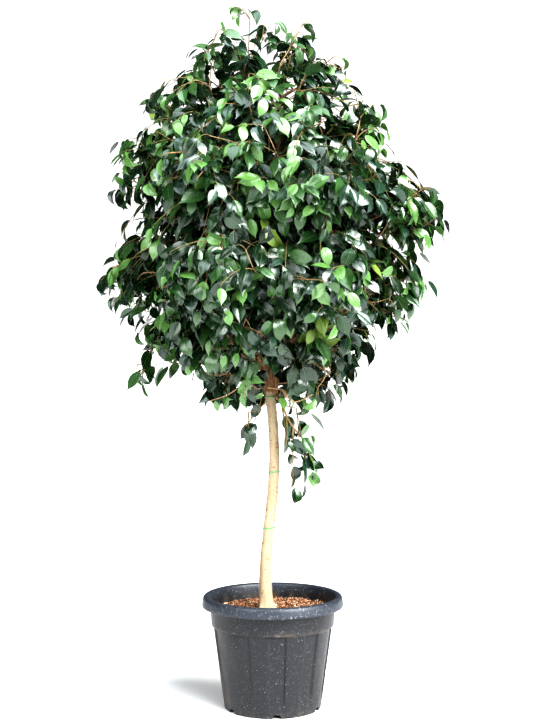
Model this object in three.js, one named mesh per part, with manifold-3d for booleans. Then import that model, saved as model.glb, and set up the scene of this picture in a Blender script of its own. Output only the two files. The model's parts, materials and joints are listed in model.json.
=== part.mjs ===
// A weeping fig grown as a standard: one clear stem in a round nursery pot, carrying a loose,
// drooping crown. Millimetres, +Z up. The origin is the centre of the pot's flat underside.
import * as THREE from "three";
import { mergeVertices } from "three/addons/utils/BufferGeometryUtils.js";
import Module from "manifold-3d";

const wasm = await Module();
wasm.setup();

// ---------- driving dimensions ----------
const GAP = 0.4; // between pieces that touch
const TURN = 2 * Math.PI;

// Pot
const RIM_RADIUS = 175;
const POT_HEIGHT = 277;
const RIM_DEPTH = 27; // height of the rolled lip
const COLLAR_TOP_RADIUS = 155;
const COLLAR_FOOT_RADIUS = 151;
const COLLAR_FOOT_HEIGHT = 209;
const BODY_TOP_HEIGHT = 201; // where the fluted wall steps out to the collar
const BODY_TOP_RADIUS = 147;
const FOOT_RADIUS = 120;
const WALL = 3.2;
const FLOOR = 5;
const POT_SEGMENTS = 60;
const FLUTES = 10;
const FLUTE_DEPTH = 2.4;
const FLUTE_FOOT_HEIGHT = 14;
const FLUTE_FADE = 30; // height over which a flute reaches its full depth
const DRAIN_SLOTS = 6;
const DRAIN_WIDTH = 22;
const DRAIN_HEIGHT = 9;
const DRAIN_REACH = 22; // how far a slot runs in under the foot
const FRONT_ANGLE = -1.492; // radians from +X to the first flute and the first drain slot

// Potting mix
const SOIL_EDGE_HEIGHT = 234;
const SOIL_TOP_HEIGHT = 241;
const SOIL_FLAT_RADIUS = 60;
const SOIL_SEGMENTS = 36;

// Stem
const STEM_FOOT = SOIL_TOP_HEIGHT + GAP;
const STEM_TOP = 806;
const STEM_FOOT_RADIUS = 15.4;
const STEM_TOP_RADIUS = 11.6;
const FLARE_RADIUS = 9; // extra radius where the roots spread
const FLARE_HEIGHT = 26;
const FLARE_LOBES = 3;
const STEM_MEAN_X = -7.2;
const SWAY = 11.4; // sideways swing of the stem's slow S-bend
const SWAY_HALF_WAVE = 320;
const SWAY_CENTRE = 460; // height at which the bend crosses its mean
const DEPTH_SWAY = 6; // the same, towards the back and front
const STEM_SIDES = 15;
const STEM_STEPS = 18;
const STEM_CROWDING = 1.35; // above 1 the rings crowd towards the flare
const TIE_HEIGHTS = { lower: 442, middle: 581, upper: 766 };
const TIE_WIRE = 1.5; // radius of the wire
const TIE_SLOPE = -0.05;

// Crown
const CROWN_AXIS_X = -10;
const SEPARATION = 5; // clear space between two masses of foliage
const MASS_DETAIL = 2;
const UNEVENNESS = 0.16;
const BROADEST = 1.25; // a mass's width is at most this times its depth
const CORE_FOOT = { height: 800, radius: 34 };
const CORE_HEAD = { height: 1360, radius: 78 };

// ---------- small helpers ----------
const lerp = THREE.MathUtils.lerp;
const clamp01 = (t) => THREE.MathUtils.clamp(t, 0, 1);

// A closed geometry as a solid that can be joined and cut.
function solidOf(geometry) {
  const bare = new THREE.BufferGeometry().setAttribute("position", geometry.getAttribute("position"));
  if (geometry.index) bare.setIndex(geometry.index);
  const merged = mergeVertices(bare, 1e-3);
  return new wasm.Manifold(
    new wasm.Mesh({
      numProp: 3,
      vertProperties: new Float32Array(merged.attributes.position.array),
      triVerts: new Uint32Array(merged.index.array),
    }),
  );
}

// The largest single body of a solid, as a geometry.
function geometryOf(solid) {
  const largest = solid.decompose().reduce((a, b) => (b.volume() > a.volume() ? b : a));
  const mesh = largest.getMesh();
  return new THREE.BufferGeometry()
    .setAttribute("position", new THREE.BufferAttribute(new Float32Array(mesh.vertProperties), 3))
    .setIndex(new THREE.BufferAttribute(new Uint32Array(mesh.triVerts), 1));
}

function cut(geometry, ...tools) {
  return geometryOf(tools.reduce((solid, tool) => solid.subtract(solidOf(tool)), solidOf(geometry)));
}

// Moves every vertex of a geometry to move(x, y, z).
function reshape(geometry, move) {
  const at = geometry.getAttribute("position");
  for (let i = 0; i < at.count; i++) {
    const p = move(at.getX(i), at.getY(i), at.getZ(i));
    at.setXYZ(i, p.x, p.y, p.z);
  }
  return geometry;
}

// A solid of revolution about Z, from a profile of [radius, height] pairs that ends on the axis.
function turned(profile, segments) {
  const points = profile.map(([radius, height]) => new THREE.Vector2(radius, height));
  return new THREE.LatheGeometry(points, segments).rotateX(Math.PI / 2);
}

// A smooth, repeatable unevenness between -1 and 1 over the directions of a unit sphere.
function ripple(direction, seed) {
  const { x, y, z } = direction;
  return (
    0.5 * Math.sin(3.1 * x + 1.7 * seed) * Math.cos(2.7 * y - 2.3 * seed) +
    0.3 * Math.sin(5.3 * z + 4.1 * y + 0.9 * seed) +
    0.2 * Math.sin(7.9 * x - 6.1 * z + 3.7 * seed)
  );
}

// ---------- pot ----------
// How far the wall stands in at an angle and height: shallow upright flutes below the collar.
function fluteDepth(angle, height) {
  const along = clamp01((height - FLUTE_FOOT_HEIGHT) / FLUTE_FADE);
  const wave = Math.cos((angle - FRONT_ANGLE) * FLUTES);
  return FLUTE_DEPTH * along * THREE.MathUtils.smoothstep(wave, -0.3, 0.3);
}

function makePot() {
  const rimFoot = POT_HEIGHT - RIM_DEPTH;
  const innerFloorRadius = FOOT_RADIUS - WALL;
  const profile = [
    [0, 0],
    [FOOT_RADIUS - 2, 0],
    [FOOT_RADIUS, 2],
    [lerp(FOOT_RADIUS, BODY_TOP_RADIUS, 0.2), lerp(0, BODY_TOP_HEIGHT, 0.2)],
    [lerp(FOOT_RADIUS, BODY_TOP_RADIUS, 0.9), lerp(0, BODY_TOP_HEIGHT, 0.9)],
    [BODY_TOP_RADIUS, BODY_TOP_HEIGHT],
    [COLLAR_FOOT_RADIUS, COLLAR_FOOT_HEIGHT],
    [COLLAR_TOP_RADIUS, rimFoot + 6],
    [RIM_RADIUS - 4, rimFoot],
    [RIM_RADIUS, rimFoot + 5],
    [RIM_RADIUS, rimFoot + 15],
    [RIM_RADIUS - 5, POT_HEIGHT - 1.5],
    [RIM_RADIUS - 11, POT_HEIGHT],
    [COLLAR_TOP_RADIUS, POT_HEIGHT - 6],
    [COLLAR_TOP_RADIUS - WALL, rimFoot],
    [BODY_TOP_RADIUS - WALL, BODY_TOP_HEIGHT],
    [lerp(innerFloorRadius, BODY_TOP_RADIUS - WALL, 0.2), lerp(FLOOR, BODY_TOP_HEIGHT, 0.2)],
    [innerFloorRadius, FLOOR],
    [0, FLOOR],
  ];
  const shell = reshape(turned(profile, POT_SEGMENTS), (x, y, z) => {
    const radius = Math.hypot(x, y);
    const onWall = radius > innerFloorRadius + 1 && z < BODY_TOP_HEIGHT + 1;
    const angle = Math.atan2(y, x);
    const depth = onWall ? fluteDepth(angle, z) : 0;
    return new THREE.Vector3(x - depth * Math.cos(angle), y - depth * Math.sin(angle), z);
  });
  const slots = Array.from({ length: DRAIN_SLOTS }, (_, i) =>
    new THREE.BoxGeometry(DRAIN_REACH * 2, DRAIN_WIDTH, DRAIN_HEIGHT * 2)
      .translate(FOOT_RADIUS, 0, 0)
      .rotateZ(FRONT_ANGLE + (i * TURN) / DRAIN_SLOTS),
  );
  return cut(shell, ...slots);
}

function innerRadius(height) {
  const t = (height - FLOOR) / (BODY_TOP_HEIGHT - FLOOR);
  return lerp(FOOT_RADIUS - WALL, BODY_TOP_RADIUS - WALL, t);
}

// ---------- potting mix ----------
function makeSoil() {
  const clear = GAP + FLUTE_DEPTH;
  const foot = FLOOR + GAP;
  return turned(
    [
      [0, foot],
      [innerRadius(foot) - clear, foot],
      [innerRadius(BODY_TOP_HEIGHT) - clear, BODY_TOP_HEIGHT],
      [BODY_TOP_RADIUS - clear, SOIL_EDGE_HEIGHT],
      [SOIL_FLAT_RADIUS, SOIL_TOP_HEIGHT],
      [0, SOIL_TOP_HEIGHT],
    ],
    SOIL_SEGMENTS,
  );
}

// ---------- limbs ----------
// A tapering limb with closed ends: a cylinder bent along a curve.
function limb(curve, radiusAt, sides, steps) {
  const { normals, binormals } = curve.computeFrenetFrames(steps, false);
  const places = curve.getSpacedPoints(steps);
  return reshape(new THREE.CylinderGeometry(1, 1, 1, sides, steps), (x, y, z) => {
    const t = 0.5 - y;
    const i = Math.round(t * steps);
    const radius = radiusAt(t, Math.atan2(z, x));
    return places[i]
      .clone()
      .addScaledVector(normals[i], -x * radius)
      .addScaledVector(binormals[i], -z * radius);
  });
}

function stemCentre(height) {
  const phase = (Math.PI * (height - SWAY_CENTRE)) / SWAY_HALF_WAVE;
  return new THREE.Vector3(
    STEM_MEAN_X + SWAY * Math.sin(phase),
    DEPTH_SWAY * Math.cos(0.8 * phase),
    height,
  );
}

function stemRadius(t, angle) {
  const height = t * (STEM_TOP - STEM_FOOT);
  const flare = Math.exp(-height / FLARE_HEIGHT) * FLARE_RADIUS;
  return (
    lerp(STEM_FOOT_RADIUS, STEM_TOP_RADIUS, t) + flare * (0.75 + 0.4 * Math.cos(FLARE_LOBES * angle))
  );
}

// The stem stands upright enough that level rings give it a flat, level foot.
function makeStem(clearance = 0) {
  const drum = new THREE.CylinderGeometry(1, 1, 1, STEM_SIDES, STEM_STEPS).rotateX(Math.PI / 2);
  return reshape(drum, (x, y, z) => {
    const t = Math.pow(z + 0.5, STEM_CROWDING);
    const radius = stemRadius(t, Math.atan2(y, x)) + clearance;
    return stemCentre(lerp(STEM_FOOT, STEM_TOP, t)).add(new THREE.Vector3(x * radius, y * radius, 0));
  });
}

function makeTie(height) {
  const centre = stemCentre(height);
  const t = (height - STEM_FOOT) / (STEM_TOP - STEM_FOOT);
  const reach = stemRadius(t, 0) + GAP + TIE_WIRE;
  return new THREE.TorusGeometry(reach, TIE_WIRE, 5, 16)
    .rotateY(TIE_SLOPE)
    .translate(centre.x, centre.y, centre.z);
}

// ---------- foliage ----------
// Each mass leans out from the crown's axis at an azimuth in degrees (0 is +X, 90 is +Y, the back).
// reach is the distance from the axis to its outer tip; height is its middle.
// tilt raises the left of a tier and lowers its right by the same amount.
const TIERS = [
  { name: "skirt", height: 888, tilt: 6, first: 36, halfHeight: 116, inner: 40, width: 0.62,
    droop: -0.46, reach: [292, 300, 316, 300, 284] },
  { name: "waist", height: 1052, tilt: 14, first: 0, halfHeight: 132, inner: 70, width: 0.6,
    droop: 0.16, reach: [388, 405, 392, 430, 396, 396] },
  { name: "shoulder", height: 1272, tilt: 56, first: 0, halfHeight: 124, inner: 66, width: 0.6,
    droop: 0.16, reach: [440, 396, 392, 408, 402, 392] },
  { name: "crest", height: 1440, tilt: 30, first: 0, halfHeight: 110, inner: 24, width: 0.7,
    droop: 0.42, reach: [330, 280, 330, 285] },
  { name: "top", height: 1580, tilt: 4, first: 14, halfHeight: 72, inner: -40, width: 0.9,
    droop: 0.16, reach: [112, 224] },
];

// Single masses that stand apart: the leader's tuft, and sprays that hang below the skirt.
const LONE_MASSES = [
  { name: "leader_tuft", centre: [-56, 0, 1694], half: [34, 34, 54] },
  { name: "hanging_right", centre: [82, -34, 662], half: [54, 46, 148] },
  { name: "hanging_left", centre: [-58, -34, 735], half: [44, 44, 82] },
  { name: "hanging_far_left", centre: [-334, 0, 848], half: [42, 44, 58] },
];

function tierMasses() {
  return TIERS.flatMap((tier) =>
    tier.reach.map((reach, i) => {
      const azimuth = ((tier.first + (i * 360) / tier.reach.length) * Math.PI) / 180;
      const outward = new THREE.Vector3(Math.cos(azimuth), Math.sin(azimuth), 0);
      const halfRadial = (reach - tier.inner) / 2;
      const middle = (reach + tier.inner) / 2;
      const across = middle * Math.tan(Math.PI / tier.reach.length) * (1 + tier.width / 2);
      return {
        name: `foliage_${tier.name}_${i + 1}`,
        centre: new THREE.Vector3(CROWN_AXIS_X, 0, tier.height - tier.tilt * outward.x).addScaledVector(
          outward,
          middle,
        ),
        half: new THREE.Vector3(halfRadial, Math.min(across, halfRadial * BROADEST), tier.halfHeight),
        azimuth,
        droop: tier.droop,
        ringed: true,
      };
    }),
  );
}

function loneMasses() {
  return LONE_MASSES.map(({ name, centre, half }) => ({
    name: `foliage_${name}`,
    centre: new THREE.Vector3(...centre),
    half: new THREE.Vector3(...half),
    azimuth: 0,
    droop: 0,
    ringed: false,
  }));
}

const masses = [...tierMasses(), ...loneMasses()].map((mass, i) => ({ ...mass, seed: i + 1 }));

// Distance from a mass's centre to its uncut surface along a direction.
function blobReach(mass, direction) {
  const local = direction.clone().applyAxisAngle(new THREE.Vector3(0, 0, 1), -mass.azimuth);
  const sag = new THREE.Vector3(local.x, local.y, local.z + mass.droop * Math.max(local.x, 0));
  const span = Math.hypot(sag.x / mass.half.x, sag.y / mass.half.y, sag.z / mass.half.z);
  return (1 + UNEVENNESS * ripple(local, mass.seed)) / span;
}

const longest = ({ half }) => Math.max(half.x, half.y, half.z) * (1 + 2 * UNEVENNESS);

// The planes that keep a mass clear of its neighbours and of the open core where the boughs rise.
// Each is a unit normal and the distance from the mass's centre to the plane.
function separators(mass) {
  const planes = [];
  for (const other of masses) {
    if (other === mass) continue;
    const normal = other.centre.clone().sub(mass.centre);
    const distance = normal.length();
    normal.normalize();
    if (distance > longest(mass) + longest(other)) continue;
    const own = blobReach(mass, normal);
    const theirs = blobReach(other, normal.clone().negate());
    planes.push({ normal, distance: (distance * own) / (own + theirs) - SEPARATION / 2 });
  }
  if (mass.ringed && mass.centre.z < CORE_HEAD.height + 60) {
    const t = (mass.centre.z - CORE_FOOT.height) / (CORE_HEAD.height - CORE_FOOT.height);
    const slope = (CORE_HEAD.radius - CORE_FOOT.radius) / (CORE_HEAD.height - CORE_FOOT.height);
    const inward = new THREE.Vector3(-Math.cos(mass.azimuth), -Math.sin(mass.azimuth), slope).normalize();
    const fromAxis = Math.hypot(mass.centre.x - CROWN_AXIS_X, mass.centre.y);
    const core = lerp(CORE_FOOT.radius, CORE_HEAD.radius, t);
    planes.push({ normal: inward, distance: (fromAxis - core) / Math.hypot(1, slope) });
  }
  return planes;
}

function makeMass(mass, clearance = 0) {
  const planes = separators(mass);
  return reshape(new THREE.IcosahedronGeometry(1, MASS_DETAIL), (x, y, z) => {
    const direction = new THREE.Vector3(x, y, z).normalize();
    const limits = planes
      .map((plane) => ({ facing: direction.dot(plane.normal), distance: plane.distance }))
      .filter(({ facing }) => facing > 1e-6)
      .map(({ facing, distance }) => distance / facing);
    const reach = Math.min(blobReach(mass, direction), ...limits) + clearance;
    return direction.multiplyScalar(reach).add(mass.centre);
  });
}

// ---------- boughs ----------
// Each bough leaves the stem at a height, bows through the core and ends where it enters its mass.
const BOUGH_FOOT_RADIUS = 7.6;
const BOUGH_TIP_RADIUS = 4.2;
const BOUGH_SIDES = 6;
const BOUGH_STEPS = 10;
const BOUGHS = [
  { name: "leader", leaves: 800, into: "foliage_top_2", bow: 0.1 },
  { name: "top_right", leaves: 792, into: "foliage_top_1", bow: 0.25 },
  { name: "crest_right", leaves: 780, into: "foliage_crest_1", bow: 0.35 },
  { name: "crest_back", leaves: 788, into: "foliage_crest_2", bow: 0.35 },
  { name: "crest_left", leaves: 776, into: "foliage_crest_3", bow: 0.35 },
  { name: "crest_front", leaves: 784, into: "foliage_crest_4", bow: 0.35 },
  { name: "high_right", leaves: 764, into: "foliage_shoulder_1", bow: 0.5 },
  { name: "high_left", leaves: 768, into: "foliage_shoulder_4", bow: 0.5 },
];

function boughCurve(bough, mass) {
  const foot = stemCentre(bough.leaves);
  const end = mass.centre.clone();
  const rise = end.z - foot.z;
  const early = foot.clone().lerp(end, 0.12);
  early.z = foot.z + rise * (0.12 + 0.25 * bough.bow);
  const late = foot.clone().lerp(end, 0.4);
  late.z = foot.z + rise * (0.6 + 0.2 * bough.bow);
  return new THREE.CubicBezierCurve3(foot, early, late, end);
}

function makeBough(bough, clearance = 0) {
  const mass = masses.find(({ name }) => name === bough.into);
  const radiusAt = (t) => lerp(BOUGH_FOOT_RADIUS, BOUGH_TIP_RADIUS, t) + clearance;
  return limb(boughCurve(bough, mass), radiusAt, BOUGH_SIDES, BOUGH_STEPS);
}

// ---------- assembly ----------
const finish = {
  pot: new THREE.MeshStandardMaterial({ color: 0x3c3d41, roughness: 0.62, metalness: 0 }),
  soil: new THREE.MeshStandardMaterial({ color: 0x8a5a3c, roughness: 0.95, metalness: 0 }),
  stem: new THREE.MeshStandardMaterial({ color: 0xd9bf90, roughness: 0.8, metalness: 0 }),
  bough: new THREE.MeshStandardMaterial({ color: 0x9c6b3f, roughness: 0.8, metalness: 0 }),
  tie: new THREE.MeshStandardMaterial({ color: 0x3fa562, roughness: 0.45, metalness: 0 }),
  foliage: new THREE.MeshStandardMaterial({ color: 0x2f5a34, roughness: 0.4, metalness: 0 }),
};

const plant = new THREE.Group();
function place(name, geometry, material) {
  const mesh = new THREE.Mesh(geometry, material);
  mesh.name = name;
  plant.add(mesh);
}

place("pot", makePot(), finish.pot);
place("potting_mix", makeSoil(), finish.soil);
place("stem", makeStem(), finish.stem);
for (const [name, height] of Object.entries(TIE_HEIGHTS)) place(`tie_${name}`, makeTie(height), finish.tie);
const foliage = masses.map((mass) => ({ mass, tool: makeMass(mass, GAP) }));
BOUGHS.forEach((bough, i) => {
  const earlier = BOUGHS.slice(0, i).map((other) => makeBough(other, GAP));
  const leaves = foliage.map(({ tool }) => tool);
  place(`bough_${bough.name}`, cut(makeBough(bough), makeStem(GAP), ...earlier, ...leaves), finish.bough);
});
for (const mass of masses) place(mass.name, makeMass(mass), finish.foliage);

export default plant;
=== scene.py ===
import functools
import json
import math

import bmesh
import bpy
import numpy as np
from bpy.props import FloatProperty, FloatVectorProperty, IntProperty, PointerProperty
from mathutils import Matrix, Vector, noise
from mathutils.bvhtree import BVHTree
from mathutils.geometry import interpolate_bezier

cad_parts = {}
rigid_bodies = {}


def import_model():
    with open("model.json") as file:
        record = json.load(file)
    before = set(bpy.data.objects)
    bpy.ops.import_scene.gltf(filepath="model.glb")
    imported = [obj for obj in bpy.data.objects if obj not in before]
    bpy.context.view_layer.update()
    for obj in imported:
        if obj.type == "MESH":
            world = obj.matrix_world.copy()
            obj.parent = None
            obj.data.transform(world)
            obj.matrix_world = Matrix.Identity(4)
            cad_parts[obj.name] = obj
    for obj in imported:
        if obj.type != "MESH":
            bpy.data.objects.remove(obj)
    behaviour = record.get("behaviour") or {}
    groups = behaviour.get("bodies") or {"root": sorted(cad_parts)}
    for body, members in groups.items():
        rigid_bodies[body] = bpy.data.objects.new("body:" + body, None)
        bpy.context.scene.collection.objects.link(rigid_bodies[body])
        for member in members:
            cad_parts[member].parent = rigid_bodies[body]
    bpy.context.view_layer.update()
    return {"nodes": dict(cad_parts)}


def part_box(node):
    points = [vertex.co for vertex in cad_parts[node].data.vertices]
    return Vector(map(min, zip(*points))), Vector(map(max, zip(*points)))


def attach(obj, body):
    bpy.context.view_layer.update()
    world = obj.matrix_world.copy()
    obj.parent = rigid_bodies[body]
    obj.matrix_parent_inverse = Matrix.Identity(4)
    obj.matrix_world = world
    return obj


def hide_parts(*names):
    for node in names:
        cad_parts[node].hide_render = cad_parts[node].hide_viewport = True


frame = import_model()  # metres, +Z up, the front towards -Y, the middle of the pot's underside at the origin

bl_info = {
    "name": "Potted weeping fig",
    "version": (1, 0, 0),
    "blender": (4, 5, 0),
    "location": "3D View > Sidebar > Weeping fig",
    "description": "A weeping fig grown as a standard in a nursery pot, round its packed frame",
    "category": "Add Mesh",
}

UP = Vector((0, 0, 1))
TURN = 2 * math.pi

# Places that the frame gives
RIM_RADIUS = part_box("pot")[1].x
MIX_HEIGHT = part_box("potting_mix")[1].z
STEM_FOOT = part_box("stem")[0].z
STEM_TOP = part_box("stem")[1].z
TIES = ("tie_lower", "tie_middle", "tie_upper")
BOUGHS = sorted(name for name in frame["nodes"] if name.startswith("bough_"))
MASSES = sorted(name for name in frame["nodes"] if name.startswith("foliage_"))
TIERS = ("skirt", "waist", "shoulder", "crest", "top", "leader", "hanging")
RINGS = ("skirt", "waist", "shoulder", "crest", "top")  # tiers that go all round
STEM_LINE = (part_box("tie_upper")[0].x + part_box("tie_upper")[1].x) / 2
CLEAR_WIDTH = 0.026  # no leaf hangs in front of the stem's head nearer to its line than this

# Shades of leaf: share of the sprays, colour, and roughness of the blade
SHADES = {
    "deep": (0.31, (0.005, 0.018, 0.006), 0.24),
    "dark": (0.29, (0.010, 0.037, 0.009), 0.23),
    "blue": (0.12, (0.014, 0.040, 0.022), 0.25),
    "mid": (0.19, (0.035, 0.090, 0.025), 0.25),
    "fresh": (0.075, (0.090, 0.198, 0.050), 0.29),
    "yellow": (0.008, (0.190, 0.290, 0.055), 0.32),
}
# Painted light: where the key light falls, high and to the right, lighter shades are dealt more often and
# dark ones less.
LIT_SIDE_GAIN = (0.35, 0.65, 1.0, 1.9, 3.0, 1.0)  # what the sunny side, high at the right, does to each share


# ---------- sizes and colours that a user would change ----------
def colour(name, description, default):
    return FloatVectorProperty(name=name, description=description, subtype="COLOR", size=3, min=0, max=1,
                               default=default)


def amount(name, description, default, **limits):
    return FloatProperty(name=name, description=description, default=default, min=0, **limits)


def length(name, description, default):
    return amount(name, description, default, unit="LENGTH")


class PotSettings(bpy.types.PropertyGroup):
    flutes: IntProperty(name="Flutes", description="Upright grooves round the wall", default=10, min=1)
    flute_depth: length("Flute depth", "How far a groove stands in", 0.0038)
    flute_width: FloatProperty(name="Flute width", description="A groove's share of its pitch",
                               default=0.46, min=0.1, max=0.9)
    front_angle: FloatProperty(name="Front angle", description="Turn of the first groove and drain slot",
                               default=-1.492, subtype="ANGLE")
    drain_slots: IntProperty(name="Drain slots", description="Notches round the foot", default=6, min=0)
    plastic: colour("Plastic", "Colour of the moulded plastic", (0.0118, 0.0126, 0.0148))
    # Rim: a painted reflection, the bluish sheen of the sky on the rim, put into the plastic's colour there.
    rim: colour("Rim", "Colour of the sky_sheen_painted rim", (0.031, 0.037, 0.048))
    dust: colour("Dust", "Colour of specks and scuffs", (0.42, 0.44, 0.46))
    # Dirt: dried soil, and also a painted highlight on the flute edges at the left and right sides.
    dirt_and_highlight: colour("Dirt", "Colour of dried soil on the edges", (0.30, 0.23, 0.16))


class MixSettings(bpy.types.PropertyGroup):
    chips: amount("Chips", "Bark chips on each square metre", 42000)
    chip_length: length("Chip length", "Length of a large chip", 0.0125)
    seed: IntProperty(name="Seed", description="Picks the lie of the chips", default=4)


class BarkSettings(bpy.types.PropertyGroup):
    pale: colour("Pale bark", "Smooth bark of the clear stem", (0.46, 0.372, 0.255))
    pores: colour("Pores", "Specks and scars in the pale bark", (0.17, 0.095, 0.050))
    brown: colour("Brown bark", "Scaly bark at the head of the stem", (0.36, 0.215, 0.115))
    bough: colour("Bough bark", "Bark of boughs and branches", (0.38, 0.21, 0.105))
    twig: colour("Twig bark", "Bark of the twigs", (0.40, 0.265, 0.15))
    shoot: colour("Shoots", "Skin of the leafy shoots", (0.31, 0.23, 0.10))
    change: length("Change", "Height at which the pale bark ends", 0.781)


class CrownSettings(bpy.types.PropertyGroup):
    seed: IntProperty(name="Seed", description="Picks the branching", default=11)
    joints: IntProperty(name="Joints", description="Branch joints in the crown", default=650, min=50)
    gap: length("Joint gap", "Least distance between two joints", 0.043)
    shoot: length("Shoot", "Length of a long leafy shoot", 0.21)
    spacing: length("Leaf spacing", "Distance between leaves along a shoot", 0.0182)
    leaf_length: length("Leaf length", "A large blade with its drip tip", 0.069)
    leaf_width: length("Leaf width", "A large blade's width", 0.037)
    hang: amount("Hang", "How far leaves hang down", 1.0, max=3)


class StageSettings(bpy.types.PropertyGroup):
    floor: colour("Floor", "Colour of the floor", (0.90, 0.90, 0.90))
    sky: amount("Sky", "Strength of the light from all round", 0.09)
    backdrop: amount("Backdrop", "Brightness of the sky behind the plant", 1.0)
    key: amount("Key light", "Strength of the soft light at the upper right", 7.8)
    key_size: amount("Key size", "Width of the key light as seen from the plant", math.radians(50),
                     subtype="ANGLE")
    fill: amount("Fill light", "Power of the light at the left", 88, unit="POWER")
    top: amount("Top light", "Power of the cool light overhead", 115, unit="POWER")


# ---------- node trees ----------
def wire(tree, kind, inputs=None, **settings):
    """Adds a node and returns its outputs. An input is a value, or the output socket that feeds it."""
    node = tree.nodes.new(kind)
    for name, value in settings.items():
        setattr(node, name, value)
    for name, value in (inputs or {}).items():
        if isinstance(value, bpy.types.NodeSocket):
            tree.links.new(value, node.inputs[name])
        else:
            node.inputs[name].default_value = value
    return node.outputs


def new_group(name, kind, inputs, outputs):
    """A node group with named sockets, and its inputs and outputs to wire to."""
    tree = bpy.data.node_groups.new(name, kind)
    for label, (socket, default) in inputs.items():
        made = tree.interface.new_socket(label, in_out="INPUT", socket_type="NodeSocket" + socket)
        if default is not None:
            made.default_value = default
    for label, socket in outputs.items():
        tree.interface.new_socket(label, in_out="OUTPUT", socket_type="NodeSocket" + socket)
    return tree, tree.nodes.new("NodeGroupInput").outputs, tree.nodes.new("NodeGroupOutput").inputs


def maths(tree, operation, a, b=0.0, clamp=False):
    """One step of arithmetic."""
    return wire(tree, "ShaderNodeMath", {0: a, 1: b}, operation=operation, use_clamp=clamp)[0]


def times(tree, *factors):
    """The product of two or more values."""
    product, *others = factors
    for factor in others:
        product = maths(tree, "MULTIPLY", product, factor)
    return product


def blend(tree, share, a, b):
    """Colour a where share is 0, and b where it is 1."""
    a, b = (value if isinstance(value, bpy.types.NodeSocket) else (*value, 1) for value in (a, b))
    return wire(tree, "ShaderNodeMix", {0: share, 6: a, 7: b}, data_type="RGBA")[2]


def stored(tree, name, kind):
    """A named attribute of the geometry."""
    return wire(tree, "GeometryNodeInputNamedAttribute", {"Name": name}, data_type=kind)[0]


def strewn(tree, points, collection, pick, turn, size):
    """One of the collection's forms at each point, picked, turned and sized."""
    forms = wire(tree, "GeometryNodeCollectionInfo",
                 {"Collection": collection, "Separate Children": True})[0]
    turned = wire(tree, "FunctionNodeEulerToRotation", {0: turn})[0]
    return wire(tree, "GeometryNodeInstanceOnPoints",
                {"Points": points, "Instance": forms, "Pick Instance": True, "Instance Index": pick,
                 "Rotation": turned, "Scale": size})[0]


def painted(tree, shapes, chosen, skin):
    """The shapes, with a material on those that are chosen."""
    return wire(tree, "GeometryNodeSetMaterial",
                {"Geometry": shapes, "Selection": chosen, "Material": skin})[0]


def compared(tree, a, operation, b):
    """Whether two whole numbers compare so."""
    return wire(tree, "FunctionNodeCompare", {2: a, 3: b}, data_type="INT", operation=operation)[0]


def ramp(tree, value, low, high, start=0.0, end=1.0):
    """value from low to high, drawn out smoothly from start to end."""
    return wire(tree, "ShaderNodeMapRange", {0: value, 1: low, 2: high, 3: start, 4: end},
                interpolation_type="SMOOTHSTEP")[0]


def by_label(values):
    """Values by the names that their sockets show."""
    return {name.replace("_", " ").capitalize(): value for name, value in values.items()}


def grouped(tree, make, **values):
    """Places a shared shader group, with its values by input name."""
    return wire(tree, "ShaderNodeGroup", by_label(values), node_tree=make())


def stretched_place(tree, stretch):
    """Where a point is on its object, with each axis stretched."""
    place = wire(tree, "ShaderNodeTexCoord")["Object"]
    return wire(tree, "ShaderNodeVectorMath", {0: place, 1: stretch}, operation="MULTIPLY")[0]


@functools.cache
def specks_group():
    """Small round specks scattered through space: Scale cells to a metre, Size and Share of the cells."""
    tree, given, made = new_group(
        "Scattered specks", "ShaderNodeTree",
        {"Scale": ("Float", 200), "Size": ("Float", 0.2), "Share": ("Float", 0.3),
         "Stretch": ("Vector", (1, 1, 1))},
        {"Mask": "Float"})
    place = stretched_place(tree, given["Stretch"])
    cells = wire(tree, "ShaderNodeTexVoronoi", {"Vector": place, "Scale": given["Scale"]})
    dice = wire(tree, "ShaderNodeSeparateXYZ", {0: cells["Color"]})
    radius = times(tree, given["Size"], dice["Y"])
    inside = ramp(tree, maths(tree, "SUBTRACT", cells["Distance"], radius), -0.04, 0.04, 1, 0)
    chosen = maths(tree, "LESS_THAN", dice["X"], given["Share"])
    tree.links.new(times(tree, inside, chosen), made["Mask"])
    return tree


@functools.cache
def clouds_group():
    """Soft patches: Scale to a metre, and the noise from Low to High drawn out from 0 to 1."""
    tree, given, made = new_group(
        "Soft patches", "ShaderNodeTree",
        {"Scale": ("Float", 20), "Low": ("Float", 0.4), "High": ("Float", 0.6), "Detail": ("Float", 4),
         "Stretch": ("Vector", (1, 1, 1))},
        {"Mask": "Float"})
    place = stretched_place(tree, given["Stretch"])
    fog = wire(tree, "ShaderNodeTexNoise",
               {"Vector": place, "Scale": given["Scale"], "Detail": given["Detail"],
                "Roughness": 0.6})["Fac"]
    tree.links.new(ramp(tree, fog, given["Low"], given["High"]), made["Mask"])
    return tree


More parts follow.
